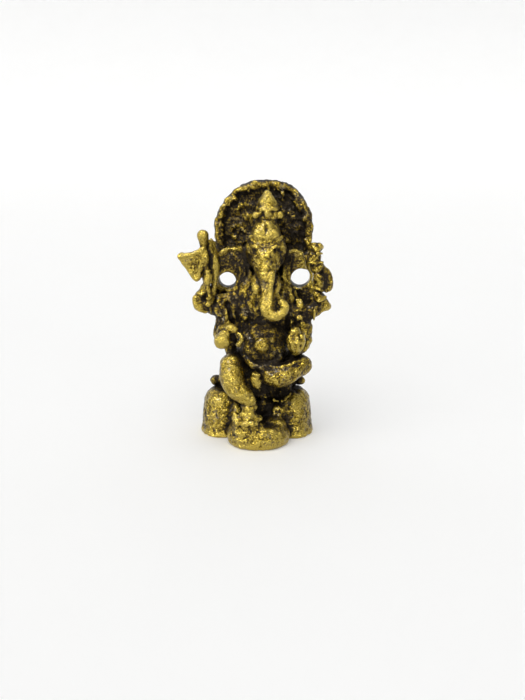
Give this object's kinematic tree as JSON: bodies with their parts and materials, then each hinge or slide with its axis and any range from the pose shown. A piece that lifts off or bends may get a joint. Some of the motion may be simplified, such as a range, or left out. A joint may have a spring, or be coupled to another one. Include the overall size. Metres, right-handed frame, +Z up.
{
  "type": "seated deity statuette",
  "caption": "Small cast-brass seated four-armed elephant-headed deity before a round halo, on a base of three rounded rocks, with two cord holes beside the head.",
  "frame": {"origin": "middle of the flat underside of the base", "axes": "+Z up, -Y the way the figure faces, +X to the figure's left"},
  "size_m": [0.0176, 0.0108, 0.03],
  "materials": {
    "gilded_relief": "rough cast brass, rubbed bright on every high place, with black-brown patina left in its pits",
    "patinated_ground": "the same cast brass under black-brown patina, with gold rubbed through on its ridges"
  },
  "bodies": {
    "root": {"axe_blade": "gilded_relief", "axe_finial": "gilded_relief", "axe_handle": "gilded_relief", "back_slab": "patinated_ground", "belly": "patinated_ground", "bolster": "patinated_ground", "bolster_knob_left": "patinated_ground", "bolster_knob_right": "patinated_ground", "broken_tusk": "gilded_relief", "chest": "patinated_ground", "crown_band": "gilded_relief", "crown_cone": "gilded_relief", "crown_rosette_left": "gilded_relief", "crown_rosette_right": "gilded_relief", "ear_left": "patinated_ground", "ear_right": "patinated_ground", "face": "gilded_relief", "forehead": "gilded_relief", "front_rock": "gilded_relief", "halo_disc": "patinated_ground", "halo_rim": "gilded_relief", "halo_scrolls": "patinated_ground", "left_calf": "gilded_relief", "left_foot": "gilded_relief", "left_front_arm": "patinated_ground", "left_front_forearm": "gilded_relief", "left_rear_arm": "patinated_ground", "left_rear_forearm": "gilded_relief", "left_rear_hand": "gilded_relief", "left_rock": "gilded_relief", "left_shoulder_locks": "patinated_ground", "left_thigh": "patinated_ground", "necklace": "gilded_relief", "noose_knot": "gilded_relief", "noose_loop": "gilded_relief", "pendant": "gilded_relief", "plinth": "patinated_ground", "right_anklet": "gilded_relief", "right_calf": "gilded_relief", "right_foot": "gilded_relief", "right_front_arm": "patinated_ground", "right_front_forearm": "gilded_relief", "right_front_hand": "gilded_relief", "right_rear_arm": "patinated_ground", "right_rear_forearm": "gilded_relief", "right_rear_hand": "gilded_relief", "right_rock": "gilded_relief", "right_shoulder_locks": "patinated_ground", "right_thigh": "patinated_ground", "right_toes": "gilded_relief", "seat": "patinated_ground", "seat_fold": "patinated_ground", "side_rib": "gilded_relief", "sweet_bowl": "gilded_relief", "sweets": "gilded_relief", "trunk": "gilded_relief", "tusk_left": "gilded_relief", "tusk_right": "gilded_relief", "waist_sash": "patinated_ground"}
  },
  "joints": []
}
